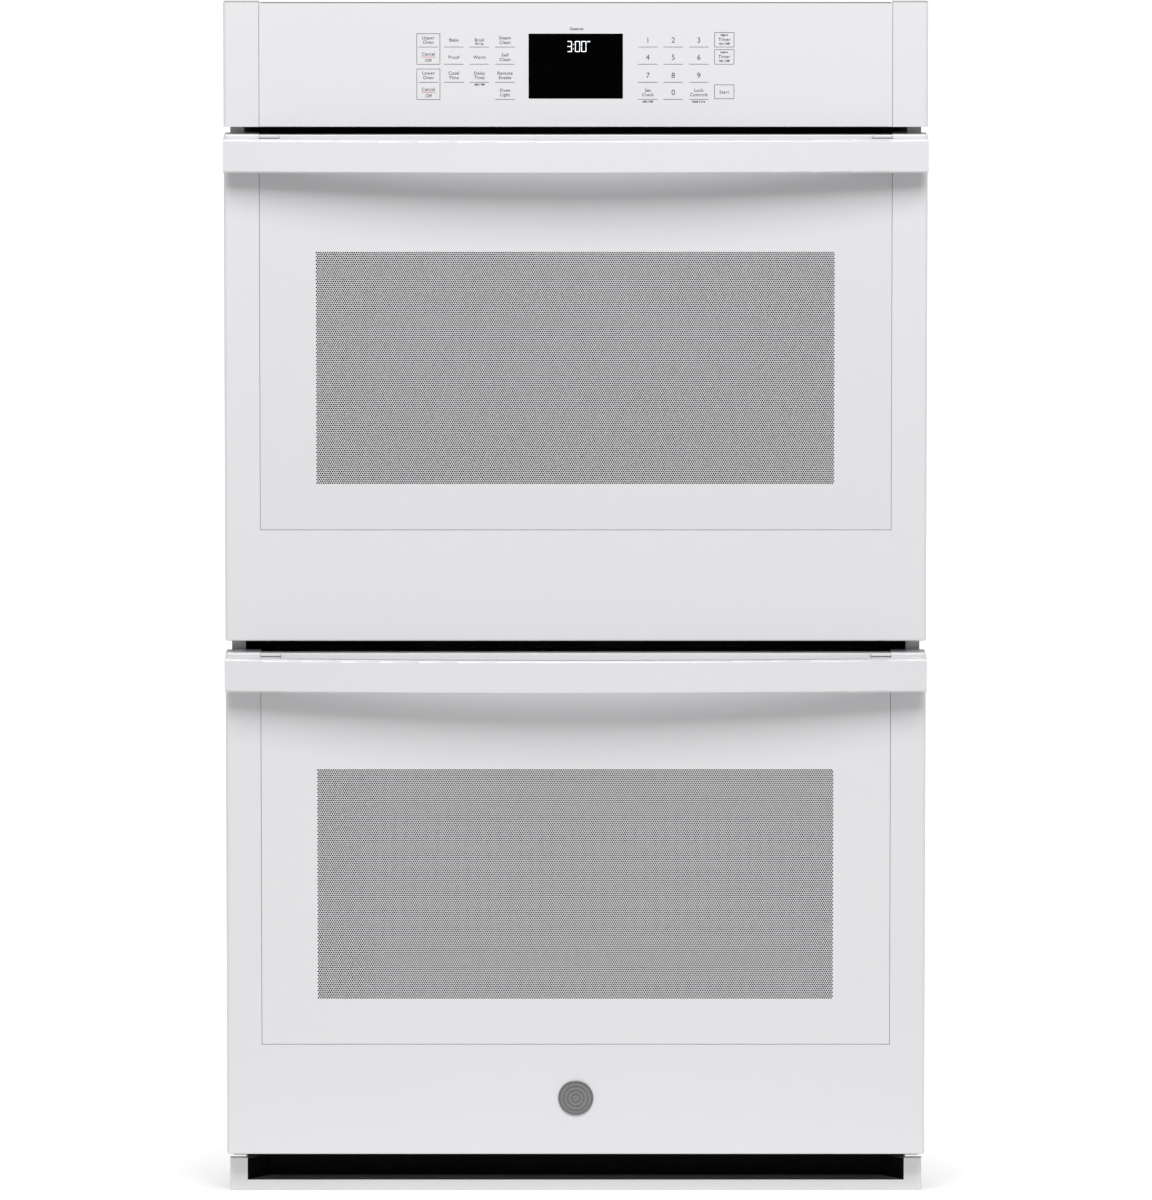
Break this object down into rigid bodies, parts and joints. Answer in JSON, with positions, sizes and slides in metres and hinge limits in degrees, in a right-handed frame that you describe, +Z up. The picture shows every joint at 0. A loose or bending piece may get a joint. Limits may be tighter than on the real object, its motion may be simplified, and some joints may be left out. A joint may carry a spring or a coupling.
{
  "type": "double wall oven",
  "caption": "Built-in double wall oven, 30-inch class: two drop-down doors with bowed band handles, sliding racks, touch control panel and cooling blower.",
  "frame": {"origin": "centre of the bounding box's bottom face, on the floor of the cabinet cut-out", "axes": "+X to the right of a person facing the oven, +Y to the back, +Z up"},
  "size_m": [0.7556, 0.6794, 1.291],
  "materials": {
    "galvanised_steel": "spangled zinc coating",
    "white_paint": "gloss white enamel",
    "white_glass": "white back-printed glass with a dot pattern window",
    "clear_glass": "clear heat-resistant glass",
    "mineral_wool": "mineral wool",
    "grey_enamel": "dark speckled porcelain enamel",
    "gasket_braid": "woven glass-fibre braid",
    "heater_sheath": "oxidised nickel alloy",
    "chrome_wire": "nickel-chrome plated wire",
    "black_glass": "black glass",
    "circuit_board": "green solder mask",
    "brushed_badge": "brushed aluminium",
    "black_steel": "black paint",
    "black_plastic": "black plastic",
    "ceramic": "ceramic and frosted glass",
    "bright_steel": "zinc-plated steel"
  },
  "bodies": {
    "chassis": {"air_ducts": "black_steel", "bake_elements": "heater_sheath", "blower_housing": "galvanised_steel", "blower_motor": "bright_steel", "bottom_louvre_panel": "black_steel", "bottom_vent_trim": "white_paint", "broil_elements": "heater_sheath", "chassis_base_pan": "galvanised_steel", "chassis_left_side": "galvanised_steel", "chassis_rear_panel": "galvanised_steel", "chassis_right_side": "galvanised_steel", "chassis_screws": "bright_steel", "chassis_top_panel": "galvanised_steel", "control_boards": "circuit_board", "control_bracket": "galvanised_steel", "control_panel_face": "white_paint", "display_window": "black_glass", "door_gaskets": "gasket_braid", "door_switches": "black_plastic", "front_frames": "grey_enamel", "hinge_arms": "bright_steel", "hinge_pins": "bright_steel", "hinge_receivers": "galvanised_steel", "junction_box": "galvanised_steel", "lamp_lenses": "clear_glass", "lock_motors": "bright_steel", "lower_oven_liner": "grey_enamel", "oven_insulation": "mineral_wool", "oven_lamps": "ceramic", "panel_end_caps": "white_paint", "temperature_sensors": "bright_steel", "upper_oven_liner": "grey_enamel"},
    "upper_door": {"upper_door_outer_panel": "white_paint", "upper_door_glass": "white_glass", "upper_door_top_trim": "white_paint", "upper_door_inner_liner": "grey_enamel", "upper_door_inner_panes": "clear_glass", "upper_door_insulation": "mineral_wool", "upper_hinge_channels": "galvanised_steel", "upper_handle": "white_paint", "upper_handle_mounts": "white_paint"},
    "lower_door": {"lower_door_outer_panel": "white_paint", "lower_door_glass": "white_glass", "lower_door_top_trim": "white_paint", "lower_door_inner_liner": "grey_enamel", "lower_door_inner_panes": "clear_glass", "lower_door_insulation": "mineral_wool", "lower_hinge_channels": "galvanised_steel", "lower_handle": "white_paint", "lower_handle_mounts": "white_paint", "round_badge": "brushed_badge"},
    "upper_low_rack": {"upper_low_rack": "chrome_wire"},
    "upper_high_rack": {"upper_high_rack": "chrome_wire"},
    "upper_lock_hook": {"upper_lock_hook": "bright_steel"},
    "upper_switch_plunger": {"upper_switch_plunger": "black_plastic"},
    "lower_low_rack": {"lower_low_rack": "chrome_wire"},
    "lower_high_rack": {"lower_high_rack": "chrome_wire"},
    "lower_lock_hook": {"lower_lock_hook": "bright_steel"},
    "lower_switch_plunger": {"lower_switch_plunger": "black_plastic"},
    "blower_wheel": {"blower_wheel": "galvanised_steel"}
  },
  "joints": [
    {"name": "lower_door_hinge", "type": "hinge", "parent": "chassis", "child": "lower_door", "pos_m": [0, -0.27575, 0.0607], "axis": [1, 0, 0], "range_deg": [0, 90]},
    {"name": "lower_low_rack_slide", "type": "slide", "parent": "chassis", "child": "lower_low_rack", "axis": [0, -1, 0], "range_m": [0, 0.3]},
    {"name": "lower_high_rack_slide", "type": "slide", "parent": "chassis", "child": "lower_high_rack", "axis": [0, -1, 0], "range_m": [0, 0.3]},
    {"name": "lower_plunger_slide", "type": "slide", "parent": "chassis", "child": "lower_switch_plunger", "axis": [0, -1, 0], "range_m": [0, 0.004]},
    {"name": "lower_lock_turn", "type": "hinge", "parent": "chassis", "child": "lower_lock_hook", "pos_m": [0, -0.215, 0.577], "axis": [0, 0, -1], "range_deg": [0, 90]},
    {"name": "upper_door_hinge", "type": "hinge", "parent": "chassis", "child": "upper_door", "pos_m": [0, -0.27575, 0.6201], "axis": [1, 0, 0], "range_deg": [0, 90]},
    {"name": "upper_low_rack_slide", "type": "slide", "parent": "chassis", "child": "upper_low_rack", "axis": [0, -1, 0], "range_m": [0, 0.3]},
    {"name": "upper_high_rack_slide", "type": "slide", "parent": "chassis", "child": "upper_high_rack", "axis": [0, -1, 0], "range_m": [0, 0.3]},
    {"name": "upper_plunger_slide", "type": "slide", "parent": "chassis", "child": "upper_switch_plunger", "axis": [0, -1, 0], "range_m": [0, 0.004]},
    {"name": "upper_lock_turn", "type": "hinge", "parent": "chassis", "child": "upper_lock_hook", "pos_m": [0, -0.215, 1.1364], "axis": [0, 0, -1], "range_deg": [0, 90]},
    {"name": "blower_spin", "type": "hinge", "parent": "chassis", "child": "blower_wheel", "pos_m": [0, 0.06, 1.19], "axis": [0, 0, 1], "continuous": true}
  ],
  "couplings": [
    {"joint": "lower_low_rack_slide", "follows": "lower_door_hinge", "m_per_rad": 0.19},
    {"joint": "lower_high_rack_slide", "follows": "lower_door_hinge", "m_per_rad": 0.19},
    {"joint": "lower_plunger_slide", "follows": "lower_door_hinge", "m_per_rad": 0.0025},
    {"joint": "upper_low_rack_slide", "follows": "upper_door_hinge", "m_per_rad": 0.19},
    {"joint": "upper_high_rack_slide", "follows": "upper_door_hinge", "m_per_rad": 0.19},
    {"joint": "upper_plunger_slide", "follows": "upper_door_hinge", "m_per_rad": 0.0025}
  ]
}
